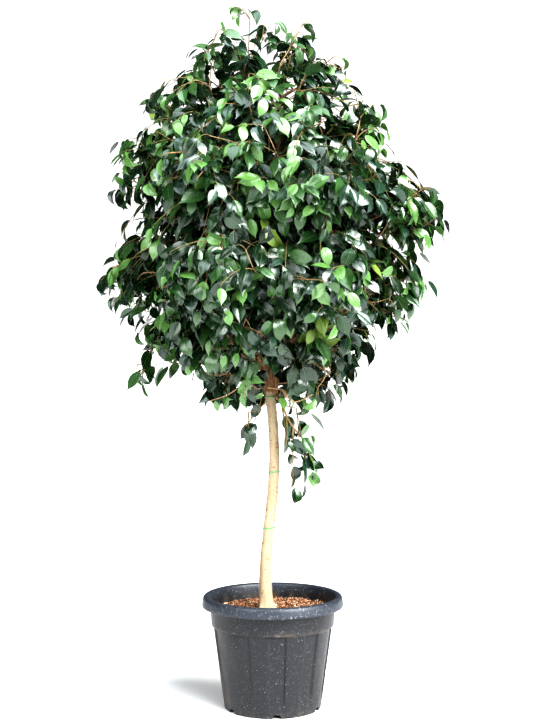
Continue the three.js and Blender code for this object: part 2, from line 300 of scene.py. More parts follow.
@functools.cache
def leaf_group():
    """A leaf's surface on its own map: side veins that sweep forwards, and a waxy bloom in patches."""
    tree, given, made = new_group(
        "Leaf surface", "ShaderNodeTree",
        {"Veins": ("Float", 16), "Sweep": ("Float", 3.5)},
        {"Height": "Float", "Bloom": "Float"})
    place = wire(tree, "ShaderNodeUVMap", uv_map="Leaf")[0]
    along, across, _ = wire(tree, "ShaderNodeSeparateXYZ", {0: place})
    off = maths(tree, "ABSOLUTE", maths(tree, "SUBTRACT", across, 0.5))
    swept = maths(tree, "SUBTRACT", times(tree, along, given["Veins"]),
                  times(tree, off, given["Sweep"]))
    rows = maths(tree, "SINE", times(tree, swept, TURN))
    tree.links.new(times(tree, ramp(tree, rows, 0.2, 1), ramp(tree, off, 0.5, 0.1)), made["Height"])
    fog = wire(tree, "ShaderNodeTexNoise", {"Vector": place, "Scale": 3.0, "Detail": 3.0})["Fac"]
    tree.links.new(ramp(tree, fog, 0.35, 0.65), made["Bloom"])
    return tree


def specks(tree, **values):
    """Where the scattered specks are."""
    return grouped(tree, specks_group, **values)["Mask"]


def clouds(tree, **values):
    """Where the soft patches are."""
    return grouped(tree, clouds_group, **values)["Mask"]


def material(name, **plain):
    """A new material with plain values on its shader's own sockets, and its tree."""
    made = bpy.data.materials.new(name)
    made.use_nodes = True
    shader = made.node_tree.nodes["Principled BSDF"]
    for label, value in plain.items():
        shader.inputs[label.replace("_", " ")].default_value = value
    return made, made.node_tree


def fed(made, **sockets):
    """The material, with these outputs linked to its shader."""
    tree = made.node_tree
    for label, socket in sockets.items():
        tree.links.new(socket, tree.nodes["Principled BSDF"].inputs[label.replace("_", " ")])
    return made


def bumped(tree, height, distance, strength=1.0):
    """Relief, where Distance is the step from 0 to 1."""
    return wire(tree, "ShaderNodeBump", {"Height": height, "Distance": distance, "Strength": strength})[0]


# ---------- materials ----------
def pot_plastic(settings):
    made, tree = material("pot_plastic", Specular_IOR_Level=0.42)
    wear, soil, high = (wire(tree, "ShaderNodeAttribute", attribute_name=name)["Fac"]
                        for name in POT_ATTRIBUTES)
    streaks = clouds(tree, scale=38, low=0.42, high=0.66, stretch=(1, 1, 0.22))
    patches = clouds(tree, scale=9, low=0.35, high=0.7)
    scuffs = clouds(tree, scale=170, low=0.56, high=0.66, detail=6)
    large = specks(tree, scale=260, size=0.30, share=0.10)
    fine = specks(tree, scale=560, size=0.36, share=0.10)
    faded = [1.5 * value for value in settings.plastic]
    tone = blend(tree, times(tree, patches, 0.3), settings.plastic, faded)
    # Painted reflection: the rim, outside and in, is blended towards the bluish rim colour, standing in for
    # the sky's sheen on it.
    tone = blend(tree, high, tone, settings.rim)
    # Dried soil at the collar, the foot and inside, and a painted highlight on the flute edges at the sides,
    # all in the dirt colour.
    tone = blend(tree, times(tree, soil, streaks, 0.5), tone, settings.dirt_and_highlight)
    rubbed = times(tree, wear, scuffs, 0.45)
    dots = times(tree, maths(tree, "MAXIMUM", large, fine), 0.5)
    tone = blend(tree, maths(tree, "MAXIMUM", rubbed, dots), tone, settings.dust)
    grain = wire(tree, "ShaderNodeTexNoise",
                 {"Vector": wire(tree, "ShaderNodeTexCoord")["Object"], "Scale": 900.0, "Detail": 3.0})[0]
    return fed(made, Base_Color=tone,
               Roughness=ramp(tree, maths(tree, "ADD", patches, rubbed), 0, 1.5, 0.36, 0.58),
               Normal=bumped(tree, maths(tree, "ADD", grain, dots), 0.0002, 0.6))


def mix_fines():
    made, tree = material("mix_fines", Roughness=0.95, Specular_IOR_Level=0.2)
    crumbs = clouds(tree, scale=260, low=0.35, high=0.65, detail=6)
    tone = blend(tree, crumbs, (0.035, 0.018, 0.010), (0.20, 0.095, 0.048))
    return fed(made, Base_Color=tone, Normal=bumped(tree, crumbs, 0.002))


def chip_bark(name, light, dark):
    made, tree = material(name, Roughness=0.85, Specular_IOR_Level=0.25)
    grain = clouds(tree, scale=420, low=0.3, high=0.7)
    return fed(made, Base_Color=blend(tree, grain, light, dark), Normal=bumped(tree, grain, 0.0006))


def pale_bark(settings):
    made, tree = material("pale_bark", Specular_IOR_Level=0.3)
    stains = clouds(tree, scale=26, low=0.38, high=0.72, stretch=(1, 1, 0.35))
    streaks = clouds(tree, scale=150, low=0.45, high=0.75, stretch=(1, 1, 0.12))
    pores = specks(tree, scale=150, size=0.42, share=0.38, stretch=(0.7, 0.7, 1.6))
    dots = clouds(tree, scale=430, low=0.54, high=0.64, detail=5)
    scars = wire(tree, "ShaderNodeAttribute", attribute_name="scar")["Fac"]
    warm = [value * share for value, share in zip(settings.pale, (0.70, 0.62, 0.50))]
    tone = blend(tree, times(tree, stains, 0.55), settings.pale, warm)
    tone = blend(tree, times(tree, streaks, 0.35), tone, warm)
    marks = maths(tree, "MAXIMUM", times(tree, pores, 0.9), times(tree, dots, 0.5))
    marks = maths(tree, "MAXIMUM", marks, times(tree, scars, 0.8), clamp=True)
    return fed(made, Base_Color=blend(tree, marks, tone, settings.pores),
               Roughness=ramp(tree, stains, 0, 1, 0.62, 0.8),
               Normal=bumped(tree, maths(tree, "SUBTRACT", streaks, marks), 0.0008, 0.7))


def rough_bark(name, tone, pale_share, scale):
    """Brown bark with dark cracks between its ridges and pale pores on them."""
    made, tree = material(name, Specular_IOR_Level=0.3)
    ridges = clouds(tree, scale=scale, low=0.35, high=0.68, detail=5, stretch=(1, 1, 0.4))
    pores = specks(tree, scale=2.2 * scale, size=0.4, share=0.25)
    dark = [value * 0.5 for value in tone]
    pale = [min(1, value * 1.7 + 0.04) for value in tone]
    shown = blend(tree, times(tree, pores, pale_share), blend(tree, ridges, dark, tone), pale)
    return fed(made, Base_Color=shown, Roughness=ramp(tree, ridges, 0, 1, 0.85, 0.62),
               Normal=bumped(tree, maths(tree, "ADD", ridges, pores), 0.0007))


def leaf_blade(name, tone, roughness):
    """A blade's colour is one plain value. Its veins are in the relief, and its bloom in the gloss."""
    made, tree = material("leaf_" + name, Base_Color=(*tone, 1), Specular_IOR_Level=0.9,
                          Specular_Tint=(0.94, 1.0, 0.98, 1))
    surface = grouped(tree, leaf_group, veins=16, sweep=3.5)
    gloss = ramp(tree, surface["Bloom"], 0, 1, roughness - 0.03, roughness + 0.04)
    return fed(made, Roughness=gloss, Normal=bumped(tree, surface["Height"], 0.0003, 0.25))


def leaf_rib():
    return material("leaf_rib", Base_Color=(0.060, 0.105, 0.040, 1), Roughness=0.35)[0]


def tie_plastic():
    made, tree = material("tie_plastic", Base_Color=(0.060, 0.46, 0.17, 1), Specular_IOR_Level=0.5)
    smears = clouds(tree, scale=300, low=0.3, high=0.7)
    return fed(made, Roughness=ramp(tree, smears, 0, 1, 0.35, 0.55))


def floor_paint(settings):
    made, tree = material("floor_paint", Base_Color=(*settings.floor, 1))
    mottle = clouds(tree, scale=3, low=0.3, high=0.7)
    return fed(made, Roughness=ramp(tree, mottle, 0, 1, 0.75, 0.85))


# ---------- meshes ----------
def new_object(name, data):
    """An object in the scene, at the origin."""
    made = bpy.data.objects.new(name, data)
    bpy.context.scene.collection.objects.link(made)
    return made


def mesh_object(name, points, faces=(), edges=(), materials=(), smooth=True):
    mesh = bpy.data.meshes.new(name)
    mesh.from_pydata([tuple(point) for point in points], list(edges), [tuple(face) for face in faces])
    for made in materials:
        mesh.materials.append(made)
    if smooth and len(mesh.polygons):
        mesh.shade_smooth()
    return new_object(name, mesh)


def turn_outwards(piece):
    """Turns the faces of closed shapes outwards."""
    mesh = bmesh.new()
    mesh.from_mesh(piece.data)
    bmesh.ops.recalc_face_normals(mesh, faces=mesh.faces)
    mesh.to_mesh(piece.data)
    mesh.free()


def keep(piece, slot, *nodes):
    """Fixes a finished piece to the plant's one body, in place of these CAD nodes."""
    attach(piece, "root")
    if nodes:
        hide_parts(*nodes)


def attribute(mesh, name, kind, domain, values):
    """Stores a named value for each point or face."""
    made = mesh.attributes.new(name, kind, domain)
    field = "vector" if kind == "FLOAT_VECTOR" else "value"
    made.data.foreach_set(field, np.asarray(values).ravel())


def as_plain_mesh(piece):
    """Turns a piece with modifiers into the mesh that they make."""
    graph = bpy.context.evaluated_depsgraph_get()
    made = bpy.data.meshes.new_from_object(piece.evaluated_get(graph))
    piece.modifiers.clear()
    piece.data = made
    made.name = piece.name
    return piece


def run_nodes(piece, tree, **values):
    """Runs a Geometry Nodes tree on a piece, with its values by input name, and keeps the mesh it makes."""
    modifier = piece.modifiers.new(tree.name, "NODES")
    modifier.node_group = tree
    given = by_label(values)
    for item in tree.interface.items_tree:
        if item.item_type == "SOCKET" and item.in_out == "INPUT" and item.name in given:
            modifier[item.identifier] = given[item.name]
    return as_plain_mesh(piece)


def polar(radius, angle, height=0.0):
    """A point by its distance and direction from the plant's upright line."""
    return radius * math.cos(angle), radius * math.sin(angle), height


def circle(radius, sides, height=0.0):
    """Points round a level circle."""
    return [polar(radius, k * TURN / sides, height) for k in range(sides)]


def ring_faces(rings, sides):
    """Quads between rings of points, each ring counted round from its first point."""
    return [(low + i, low + (i + 1) % sides, low + sides + (i + 1) % sides, low + sides + i)
            for low in range(0, (rings - 1) * sides, sides) for i in range(sides)]


def capped_faces(rings, sides):
    """The same, with a face over the first ring and one over the last."""
    caps = [tuple(reversed(range(sides))), tuple(range((rings - 1) * sides, rings * sides))]
    return ring_faces(rings, sides) + caps


def cut_away(piece, cutter):
    """Cuts one piece's shape out of another."""
    cut = piece.modifiers.new("cut", "BOOLEAN")
    cut.operation = "DIFFERENCE"
    cut.solver = "EXACT"
    cut.object = cutter
    as_plain_mesh(piece)
    bpy.data.objects.remove(cutter)


# ---------- pot ----------
COLLAR_FOOT = 0.209  # height of the collar's lower edge
WALL_TOP = 0.201  # height of the fluted wall's top
RIM_FOOT = 0.250  # height of the rolled rim's lower edge
FOOT_RADIUS = 0.120
OUTLINE_RADIUS = 0.175  # the rim's radius in the outline below
POT_SIDES = 300
# Per point: rubbing, dried soil with the painted edge highlight, and the rim's share, which sets its painted
# sky sheen.
POT_ATTRIBUTES = ("wear", "soil", "rim")
SLOT_HALF_WIDTH, SLOT_HEIGHT, SLOT_REACH = 0.011, 0.0095, 0.024
FLUTE_EDGE = 0.05  # how soft a flute's edge is, in shares of half a pitch
FLUTE_FOOT, FLUTE_FADE = 0.012, 0.03  # height at which the flutes begin, and over which they fade in
WARP = 0.0006  # how far the pot is out of round at its rim
# Outline in millimetres, from the underside's middle out, up, over the rim and down inside to the floor
POT_OUTLINE = (
    (0, 0), (60, 0), (110, 0), (118, 0), (119.4, 0.5), (120, 2), (120.3, 5), (121, 10), (121.9, 16),
    (122.8, 22), (124, 30), (126.2, 46), (129, 67), (132, 90), (135, 112), (138, 134), (141, 157),
    (144, 179), (145.9, 193), (146.8, 199.4), (147.2, 201), (149.8, 203), (151.4, 205.2), (151.9, 208),
    (152.2, 211), (152.9, 222), (153.9, 236), (154.6, 246), (155.2, 249.6), (157, 251), (164, 251),
    (170.5, 250), (173.4, 250.3), (174.7, 251.6), (175, 253.6), (174.6, 258), (173.7, 264), (172.9, 269),
    (171.9, 272.4), (170, 275), (167.4, 276.5), (164.5, 277), (161, 276.8), (158, 275.6), (156, 273.4),
    (155, 270), (154, 262), (152.4, 250), (150.6, 236), (148.8, 220), (147.2, 208), (144.4, 201),
    (144.1, 199), (141, 179), (135, 134), (129, 90), (123, 45), (118, 12), (116.8, 7), (114, 5.2), (110, 5),
    (60, 5), (0, 5),
)


def flute(angle, height, settings):
    """How deep the wall is grooved here, from 0 to 1."""
    turn = ((angle - settings.front_angle) * settings.flutes / TURN) % 1
    off_middle = min(turn, 1 - turn) * 2
    across = np.clip((settings.flute_width - off_middle) / FLUTE_EDGE + 0.5, 0, 1)
    along = np.clip((height - FLUTE_FOOT) / FLUTE_FADE, 0, 1) * (height < WALL_TOP)
    return across * along


def pot_wear(angle, height, groove, inside):
    """How rubbed the plastic is here, how much dried soil and painted highlight it carries, and how much it
    is the rim, whose colour carries a painted sky sheen.
    """
    rim = float(np.clip((height - RIM_FOOT) / 0.004, 0, 1))
    lip = math.exp(-abs(height - RIM_FOOT - 0.004) / 0.004)
    if inside:
        return max(0.75 * rim, 0.15), 0.25 * (1 - rim), 0.8 * rim
    collar = math.exp(-abs(height - COLLAR_FOOT + 0.002) / 0.0025)
    foot = 0.5 * math.exp(-height / 0.010)
    # Painted highlight: a light streak in the dirt colour along the flute edges on the pot's left and right
    # sides.
    edge = math.cos(angle) ** 6 * max(1 - abs(2 * groove - 1), 0.2 * (height < WALL_TOP))
    return max(0.5 * rim, lip, 0.5 * collar, foot, 0.12), max(0.5 * collar, 0.6 * foot, edge), rim


def make_pot(settings):
    """The moulded pot, turned round its outline, fluted, and notched at the foot."""
    points, states = [], []
    scale = RIM_RADIUS / OUTLINE_RADIUS / 1000
    crest = max(range(len(POT_OUTLINE)), key=lambda i: POT_OUTLINE[i][1])
    for i, (radius, height) in enumerate(POT_OUTLINE[1:-1], 1):
        for k in range(POT_SIDES):
            angle = k * TURN / POT_SIDES
            groove = flute(angle, height / 1000, settings)
            warp = WARP * math.sin(2 * angle + 0.6) * height / POT_OUTLINE[crest][1]
            r = radius * scale - groove * settings.flute_depth + warp * (radius > 110)
            points.append(polar(r, angle, height / 1000))
            states.append(pot_wear(angle, height / 1000, groove, i > crest + 4))
    rings = len(POT_OUTLINE) - 2
    faces = ring_faces(rings, POT_SIDES)
    for ring, height, turned in ((0, 0, True), (rings - 1, POT_OUTLINE[-1][1] / 1000, False)):
        middle, start = len(points), ring * POT_SIDES
        points.append((0, 0, height))
        states.append((0.1, 0.1, 0.0))
        fan = [(start + k, start + (k + 1) % POT_SIDES, middle) for k in range(POT_SIDES)]
        faces += [face[::-1] for face in fan] if turned else fan
    pot = mesh_object("pot_shell", points, faces, materials=[pot_plastic(settings)])
    for name, values in zip(POT_ATTRIBUTES, zip(*states)):
        attribute(pot.data, name, "FLOAT", "POINT", values)
    cut_away(pot, drain_cutter(settings))
    pot.data.set_sharp_from_angle(angle=math.radians(38))
    return pot


def drain_cutter(settings):
    """Round-topped bars that notch the foot of the wall, all in one mesh."""
    points, faces = [], []
    arch = [(-SLOT_HALF_WIDTH * math.cos(a), SLOT_HEIGHT * math.sin(a) ** 0.6)
            for a in np.linspace(0.02, math.pi - 0.02, 9)]
    arch = [(-SLOT_HALF_WIDTH, -0.01), *arch, (SLOT_HALF_WIDTH, -0.01)]
    for slot in range(settings.drain_slots):
        turn = Matrix.Rotation(settings.front_angle + slot * TURN / settings.drain_slots, 3, "Z")
        base = len(points)
        for distance in (FOOT_RADIUS - SLOT_REACH, FOOT_RADIUS + SLOT_REACH):
            points += [turn @ Vector((distance, across, up)) for across, up in arch]
        faces += [tuple(base + i for i in face) for face in capped_faces(2, len(arch))]
    cutter = mesh_object("drain_cutter", points, faces)
    turn_outwards(cutter)
    return cutter


# ---------- potting mix ----------
MIX_SIDES = 144
# Radius and height of the rings below the mix's surface
MIX_BODY = ((0.108, 0.0058), (0.1135, 0.0075), (0.1375, 0.199), (0.1468, 0.225))
CHIP_BED_SIDES = 60
CHIP_SHAPES = ((1, 0.45, 0.22), (0.8, 0.6, 0.3), (1.25, 0.26, 0.2), (0.6, 0.5, 0.4), (0.9, 0.35, 0.15))
CHIP_TONES = {
    "rust": ((0.40, 0.185, 0.100), (0.17, 0.075, 0.042)),
    "tan": ((0.60, 0.38, 0.24), (0.34, 0.19, 0.11)),
    "pale": ((0.86, 0.68, 0.47), (0.60, 0.40, 0.24)),
    "dark": ((0.10, 0.050, 0.028), (0.040, 0.020, 0.012)),
}
TONE_STARTS = (0, 46, 72, 84)  # the draw out of a hundred at which each tone of chip begins


def mix_surface(radius, sides, lift=0.0):
    """A ring of points on the mix: a slight mound with lumps, higher on the right."""
    ring = []
    for x, y, _ in circle(radius, sides):
        large = noise.noise(Vector((x, y, 0.3)) * 34)
        small = noise.noise(Vector((x, y, 1.7)) * 90)
        lumps = large * 0.0035 + small * 0.0022
        mound = 0.0045 - 0.0055 * (radius / 0.15) ** 2 + 0.016 * x * (radius / 0.15)
        ring.append((x, y, MIX_HEIGHT + mound + lumps + lift))
    return ring


def make_mix():
    """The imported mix, closed, with its top laid out in rings."""
    rings = [circle(radius, MIX_SIDES, height) for radius, height in MIX_BODY]
    rings += [mix_surface(radius, MIX_SIDES) for radius in np.linspace(0.148, 0.004, 46)]
    faces = capped_faces(len(rings), MIX_SIDES)
    return mesh_object("mix_bed", sum(rings, []), faces, materials=[mix_fines()])


def chip_form(name, size, seed):
    """An angular flake of bark: the hull of a few points in a flat box, thinner towards its ends."""
    rng = np.random.default_rng(seed)
    spots = rng.uniform(-1, 1, (11, 3)) * size
    spots[:, 2] *= 1 - 0.5 * np.abs(spots[:, 0]) / size[0]
    form = mesh_object(name, spots, smooth=False)
    mesh = bmesh.new()
    mesh.from_mesh(form.data)
    hull = bmesh.ops.convex_hull(mesh, input=mesh.verts)
    bmesh.ops.delete(mesh, geom=list(set(hull["geom_interior"])), context="VERTS")
    mesh.to_mesh(form.data)
    mesh.free()
    turn_outwards(form)
    return form


def forms_collection(name, forms):
    """Puts pattern objects into a collection of their own, for a tree to pick from."""
    made = bpy.data.collections.new(name)
    for form in forms:
        bpy.context.scene.collection.objects.unlink(form)
        made.objects.link(form)
    return made


def drop_forms(collection):
    """Removes the pattern objects once they have been copied."""
    for form in list(collection.objects):
        bpy.data.objects.remove(form)
    bpy.data.collections.remove(collection)


def chips_tree(tones):
    """Scatters chips over a surface, each turned and sized at random, in several tones."""
    inputs = {"Surface": ("Geometry", None), "Density": ("Float", 1000), "Seed": ("Int", 0),
              "Forms": ("Collection", None)}
    inputs |= {"Tone " + name: ("Material", None) for name in tones}
    tree, given, made = new_group("Scattered chips", "GeometryNodeTree", inputs, {"Chips": "Geometry"})
    spots = wire(tree, "GeometryNodeDistributePointsOnFaces",
                 {"Mesh": given["Surface"], "Density": given["Density"], "Seed": given["Seed"]})["Points"]

    def chance(low, high, kind, salt):
        seed = wire(tree, "FunctionNodeIntegerMath", {0: given["Seed"], 1: salt}, operation="ADD")[0]
        first, place = {"FLOAT_VECTOR": (0, 0), "FLOAT": (2, 1), "INT": (4, 2)}[kind]
        return wire(tree, "FunctionNodeRandomValue", {first: low, first + 1: high, "Seed": seed},
                    data_type=kind)[place]

    chips = strewn(tree, spots, given["Forms"], pick=chance(0, 99, "INT", 2),
                   turn=chance((-0.75, -0.6, 0), (0.75, 0.6, TURN), "FLOAT_VECTOR", 1),
                   size=chance(0.35, 1.05, "FLOAT", 3))
    chips = wire(tree, "GeometryNodeStoreNamedAttribute",
                 {"Geometry": chips, "Name": "tone", "Value": chance(0, 99, "INT", 4)},
                 data_type="INT", domain="INSTANCE")[0]
    chips = wire(tree, "GeometryNodeRealizeInstances", {0: chips})[0]
    tone = stored(tree, "tone", "INT")
    for name, least in zip(tones, TONE_STARTS):
        chips = painted(tree, chips, compared(tree, tone, "GREATER_EQUAL", least), given["Tone " + name])
    tree.links.new(chips, made["Chips"])
    return tree


def make_chips(settings):
    """Loose chips of bark all over the mix."""
    rings = [mix_surface(radius, CHIP_BED_SIDES, 0.0008) for radius in np.linspace(0.0, 0.1475, 24)[1:]]
    faces = [*ring_faces(len(rings), CHIP_BED_SIDES), tuple(range(CHIP_BED_SIDES))]
    bed = mesh_object("mix_chips", sum(rings, []), faces)
    if bed.data.polygons[0].normal.z < 0:
        bed.data.flip_normals()
    forms = forms_collection("chip_forms", [
        chip_form(f"chip_form_{i}", settings.chip_length / 2 * np.array(shape), i)
        for i, shape in enumerate(CHIP_SHAPES)])
    tones = {"tone_" + name: chip_bark("chip_" + name, *pair) for name, pair in CHIP_TONES.items()}
    chips = run_nodes(bed, chips_tree(CHIP_TONES), density=settings.chips, seed=settings.seed, forms=forms,
                      **tones)
    drop_forms(forms)
    return chips


# ---------- limbs ----------
def level_cuts(node, count, margin=0.002):
    """Centres and half-widths of level cuts through a limb's CAD solid, from its foot to its tip."""
    mesh = frame["nodes"][node].data
    spots = np.array([vertex.co for vertex in mesh.vertices])
    ends = spots[np.array([edge.vertices for edge in mesh.edges])]
    low, high = spots[:, 2].min() + margin, spots[:, 2].max() - margin
    centres, halves = [], []
    for height in np.linspace(low, high, count):
        rise = ends[:, :, 2] - height
        crossing = rise[:, 0] * rise[:, 1] < 0
        share = rise[crossing, 0] / (rise[crossing, 0] - rise[crossing, 1])
        hits = ends[crossing, 0] + share[:, None] * (ends[crossing, 1] - ends[crossing, 0])
        centres.append((hits.min(0) + hits.max(0)) / 2)
        halves.append(np.ptp(hits, axis=0)[:2].mean() / 2)
    return np.array(centres), np.array(halves)


@functools.cache
def stem_cuts():
    """Level cuts through the stem, taken once."""
    return level_cuts("stem", 120)


def stem_at(height):
    """Where the stem's middle is at a height, and its radius there."""
    centres, halves = stem_cuts()
    return [float(np.interp(height, centres[:, 2], values)) for values in (*centres.T[:2], halves)]


def off_angle(angle, other):
    """The turn from one angle to another, between half a turn back and half a turn on."""
    return (angle - other + math.pi) % TURN - math.pi


def bump(*shares):
    """A smooth bump: 1 where all the shares are 0, and near 0 where one of them is past 2."""
    return math.exp(-sum(share ** 2 for share in shares))


STEM_SIDES = 56
STEM_RINGS = 300
ROOTS = ((-0.75, 0.019), (0.6, 0.015), (2.3, 0.010), (3.9, 0.008))  # angle and spread of each surface root
GIRTH = 0.014  # the stem's usual radius, for laying out its marks


def make_stem(settings):
    """The clear stem: fine relief in the bark, branch scars, spreading roots and a rougher head."""
    rng = np.random.default_rng(3)
    scars = [(rng.uniform(0, TURN), height)
             for height in np.linspace(STEM_FOOT + 0.05, STEM_TOP - 0.06, 13)]
    points, scarred = [], []
    for height in np.linspace(STEM_FOOT - 0.008, STEM_TOP + 0.004, STEM_RINGS):
        x, y, _ = stem_at(height)
        above = max(0.0, height - STEM_FOOT)
        plain = stem_at(max(height, STEM_FOOT + 0.05))[2]
        for k in range(STEM_SIDES):
            angle = k * TURN / STEM_SIDES
            out = Vector(polar(1, angle))
            place = out * GIRTH + UP * height
            radius = plain + 0.0045 * math.exp(-above / 0.03)
            for root, spread in ROOTS:
                radius += spread * math.exp(-above / 0.011) * bump(off_angle(angle, root) / 0.33)
            radius += 0.0009 * noise.noise(place * 40) + 0.00045 * noise.noise(place * 120)
            mark = 0.0
            for turn, at in scars:
                near = bump(off_angle(angle, turn) * GIRTH / 0.005, (height - at) / 0.0022)
                radius += 0.0007 * near
                mark = max(mark, near)
            if height > settings.change:
                scales = abs(noise.noise(Vector((place.x * 150, place.y * 150, place.z * 60))))
                radius += 0.0016 * scales - 0.0011
            points.append((x + out.x * radius, y + out.y * radius, height))
            scarred.append(mark)
    barks = [pale_bark(settings), rough_bark("head_bark", settings.brown, 0.3, 130)]
    stem = mesh_object("stem_bark", points, capped_faces(STEM_RINGS, STEM_SIDES), materials=barks)
    attribute(stem.data, "scar", "FLOAT", "POINT", scarred)
    for face in stem.data.polygons:
        ragged = 0.0035 * noise.noise(face.center * 130)
        face.material_index = int(face.center.z > settings.change + ragged)
    return stem


def lines_object(name, lines):
    """Open lines of points as one mesh of edges. Each line is a list of (place, radius)."""
    points, edges, girths = [], [], []
    for line in lines:
        start = len(points)
        points += [place for place, _ in line]
        girths += [girth for _, girth in line]
        edges += [(i, i + 1) for i in range(start, start + len(line) - 1)]
    made = mesh_object(name, points, edges=edges)
    attribute(made.data, "girth", "FLOAT", "POINT", girths)
    return made


@functools.cache
def tubes_tree():
    """Tubes along lines: each point's girth is the tube's radius there, and Relief roughens the skin."""
    tree, given, made = new_group(
        "Tubes along lines", "GeometryNodeTree",
        {"Lines": ("Geometry", None), "Sides": ("Int", 6), "Relief": ("Float", 0.0),
         "Relief scale": ("Float", 200.0), "Skin": ("Material", None)},
        {"Tubes": "Geometry"})
    path = wire(tree, "GeometryNodeMeshToCurve", {"Mesh": given["Lines"]})[0]
    ring = wire(tree, "GeometryNodeCurvePrimitiveCircle", {"Resolution": given["Sides"], "Radius": 1.0})[0]
    skin = wire(tree, "GeometryNodeCurveToMesh",
                {"Curve": path, "Profile Curve": ring, "Scale": stored(tree, "girth", "FLOAT"),
                 "Fill Caps": True})[0]
    place = wire(tree, "GeometryNodeInputPosition")[0]
    rough = wire(tree, "ShaderNodeTexNoise",
                 {"Vector": place, "Scale": given["Relief scale"], "Detail": 2.0})[0]
    push = times(tree, maths(tree, "SUBTRACT", rough, 0.5), given["Relief"])
    normal = wire(tree, "GeometryNodeInputNormal")[0]
    offset = wire(tree, "ShaderNodeVectorMath", {0: normal, "Scale": push}, operation="SCALE")[0]
    for kind, inputs in (("SetPosition", {"Offset": offset}), ("SetShadeSmooth", {"Shade Smooth": True}),
                         ("RealizeInstances", {}), ("SetMaterial", {"Material": given["Skin"]})):
        skin = wire(tree, "GeometryNode" + kind, {"Geometry": skin, **inputs})[0]
    tree.links.new(skin, made["Tubes"])
    return tree


TIE_GIRTH = 0.0010  # radius of the covered wire
TIE_ROOM = 0.0006  # between the wire and the bark


def make_ties():
    """Thin plastic-covered wire, wound once round the stem. The upper tie is twisted shut at the right."""
    green, made = tie_plastic(), []
    for i, node in enumerate(TIES):
        low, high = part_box(node)
        height = (low.z + high.z) / 2
        x, y, radius = stem_at(height)
        middle = Vector((x, y, height))
        reach = radius + TIE_GIRTH + TIE_ROOM
        start = -0.35 + 0.5 * i
        loop = []
        for turn in np.linspace(0, TURN * 1.04, 44):
            slope = 0.0016 * math.cos(turn + i) + 0.0012 * turn / TURN
            out = Vector(polar(reach + TIE_ROOM * turn / TURN, start + turn, slope))
            loop.append((middle + out, TIE_GIRTH))
        out = Vector(polar(1, start))
        across = Vector((-out.y, out.x, 0))
        tails = []
        for side in (0, math.pi) if node == TIES[-1] else ():
            tail = []
            for t in np.linspace(0, 1, 16):
                twist = side + 5.0 * t
                swing = across * math.cos(twist) + UP * math.sin(twist)
                place = middle + out * (reach + 0.012 * t) + UP * (0.002 - 0.004 * t * t) + swing * 0.0012
                tail.append((place, TIE_GIRTH * 0.9))
            tails.append(tail)
        ring = lines_object(node + "_wire", [loop, *tails])
        made.append(run_nodes(ring, tubes_tree(), sides=8, relief=0.0, skin=green))
    return made


# ---------- growth of the crown ----------
RING_REACH = 1.05  # how far out, in shares of a mass's own distance, the crown is also leafy beside it
SKIRT_DROP = 0.038  # how far below the lowest masses leaves hang near the stem
WELL_INSIDE = -0.04  # what counts as the depth between a mass and the stem's line
NEARBY = 0.08  # how far above or below a mass places are still measured from it
CROWN_MIDDLE = Vector((-0.010, 0, (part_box("foliage_waist_1")[0].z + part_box("foliage_crest_1")[0].z) / 2))
HEIGHTS = (1.3, 1.7)  # between these, leaves get smaller and hang less
LINK_BEND, LINK_WAY = 0.9, 0.26  # what a link costs for its bend, and for its way from the stem
TWIG_GIRTH, GIRTH_POWER = 0.00115, 0.40  # radius of the last twigs, and how it grows with their number
THICK = 0.0031  # radius from which a line is a bough
SHOOT_GIRTH = 0.0015
HANGING_TOP, HANGING_FOOT, HANGING_STEP = 0.42, -0.3, 0.03  # joints of a hanging spray, and their spacing
TOP_LIGHT = (1.30, 1.62)  # heights between which the crown gets airier
SKIN_MIDDLE, SKIN_SPREAD, SKIN_MOST = -0.022, 0.021, 0.03  # how far past the masses' surface shoots end
LEAF_SAG = 0.035  # how far leaves hang below a shoot's end
LEAF_ROOM = 0.016  # how much further than its shoot a leaf may reach


class Mass:
    """One mass of foliage: its name, its middle, and how far its surface is from there."""

    def __init__(self, node):
        mesh = frame["nodes"][node].data
        low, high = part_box(node)
        self.node = node
        self.middle = (low + high) / 2
        self.size = high - low
        self.tier = next(tier for tier in TIERS if node.startswith("foliage_" + tier))
        self.surface = BVHTree.FromPolygons([vertex.co for vertex in mesh.vertices],
                                            [face.vertices for face in mesh.polygons])
        self.ring = self.middle.xy.length * RING_REACH if self.tier in RINGS else 0.0

    def beyond(self, place):
        """How far a place is outside the mass, below 0 inside it and between it and the stem's line."""
        offset = place - self.middle
        drop = SKIRT_DROP if self.tier == "skirt" else 0.0
        if place.xy.length < self.ring and -self.size.z / 2 - drop < offset.z < self.size.z / 2:
            return WELL_INSIDE
        least, distance = min(self.size) / 2, offset.length
        if distance < 1e-6:
            return -least
        return distance - (self.surface.ray_cast(self.middle, offset / distance)[3] or least)


def nearest_mass(place, masses):
    """The mass that a place is deepest in, and how far outside it the place is."""
    near = ((mass.beyond(place), (place - mass.middle).length, i) for i, mass in enumerate(masses)
            if abs(place.z - mass.middle.z) < mass.size.z / 2 + NEARBY)
    outside, _, i = min(near, default=(1.0, 0.0, 0))
    return masses[i], outside


def unit(rng):
    """A random direction."""
    return Vector(rng.normal(size=3)).normalized()


def outwards(place):
    """The way to the light from a place in the crown, nearly level."""
    away = place - CROWN_MIDDLE
    away.z *= 0.35
    return away.normalized() if away.length > 1e-6 else UP.copy()


